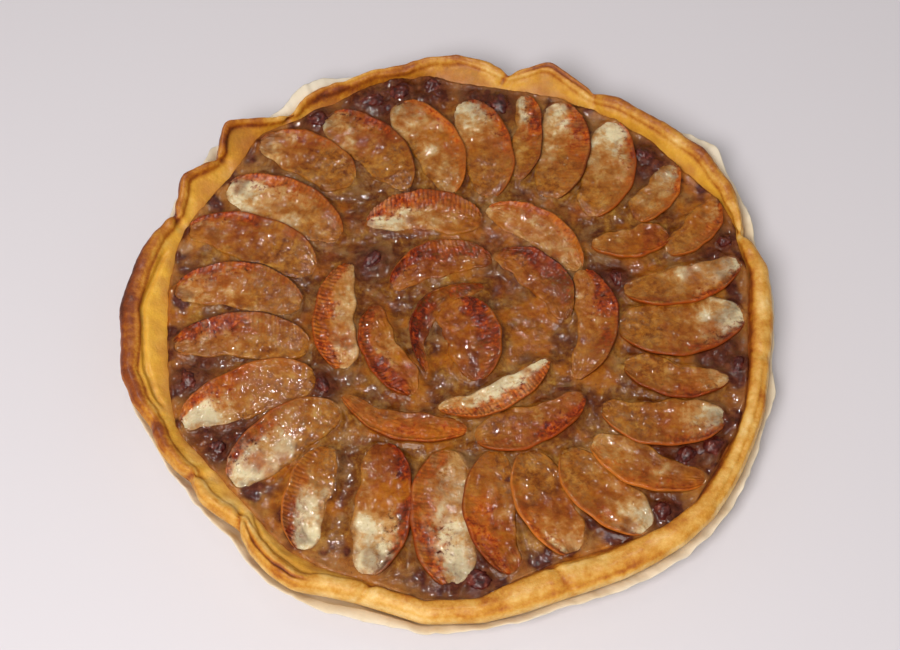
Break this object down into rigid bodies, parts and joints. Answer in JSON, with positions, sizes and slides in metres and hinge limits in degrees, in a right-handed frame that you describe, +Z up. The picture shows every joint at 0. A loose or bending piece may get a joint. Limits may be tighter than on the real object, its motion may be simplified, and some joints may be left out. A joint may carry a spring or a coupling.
{
  "type": "apple tart",
  "caption": "Round home-baked apple tart with a hand-folded crust, custard, raisins and rings of browned apple slices, in its trimmed baking paper",
  "frame": {"origin": "middle of the tart on the underside of its baking paper, where it rests", "axes": "+Z up, from the flat underside to the slices; +Y is away from the side that the tart is seen from"},
  "size_m": [0.3002, 0.2976, 0.0305],
  "materials": {
    "baking_paper": "matt, slightly see-through, with pleats",
    "pastry": "baked shortcrust, golden, browned on its folds",
    "custard": "baked custard under a thin syrup, bubbled and glossy",
    "apple": "baked apple flesh, browned at the skin edge, moist",
    "raisin": "wrinkled, dark, moist"
  },
  "bodies": {
    "root": {"paper": "baking_paper", "crust": "pastry", "filling": "custard", "outer_slice_01": "apple", "outer_slice_02": "apple", "outer_slice_03": "apple", "outer_slice_04": "apple", "outer_slice_05": "apple", "outer_slice_06": "apple", "outer_slice_07": "apple", "outer_slice_08": "apple", "outer_slice_09": "apple", "outer_slice_10": "apple", "outer_slice_11": "apple", "outer_slice_12": "apple", "outer_slice_13": "apple", "outer_slice_14": "apple", "outer_slice_15": "apple", "outer_slice_16": "apple", "outer_slice_17": "apple", "outer_slice_18": "apple", "outer_slice_19": "apple", "outer_slice_20": "apple", "outer_slice_21": "apple", "outer_slice_22": "apple", "outer_slice_23": "apple", "outer_slice_24": "apple", "outer_slice_25": "apple", "outer_slice_26": "apple", "outer_slice_27": "apple", "middle_slice_01": "apple", "middle_slice_02": "apple", "middle_slice_03": "apple", "middle_slice_04": "apple", "middle_slice_05": "apple", "middle_slice_06": "apple", "inner_slice_01": "apple", "inner_slice_02": "apple", "inner_slice_03": "apple", "inner_slice_04": "apple", "inner_slice_05": "apple", "inner_slice_06": "apple", "raisin_01": "raisin", "raisin_02": "raisin", "raisin_03": "raisin", "raisin_04": "raisin", "raisin_05": "raisin", "raisin_06": "raisin", "raisin_07": "raisin", "raisin_08": "raisin", "raisin_09": "raisin", "raisin_10": "raisin", "raisin_11": "raisin", "raisin_12": "raisin", "raisin_13": "raisin", "raisin_14": "raisin", "raisin_15": "raisin", "raisin_16": "raisin", "raisin_17": "raisin"}
  },
  "joints": []
}
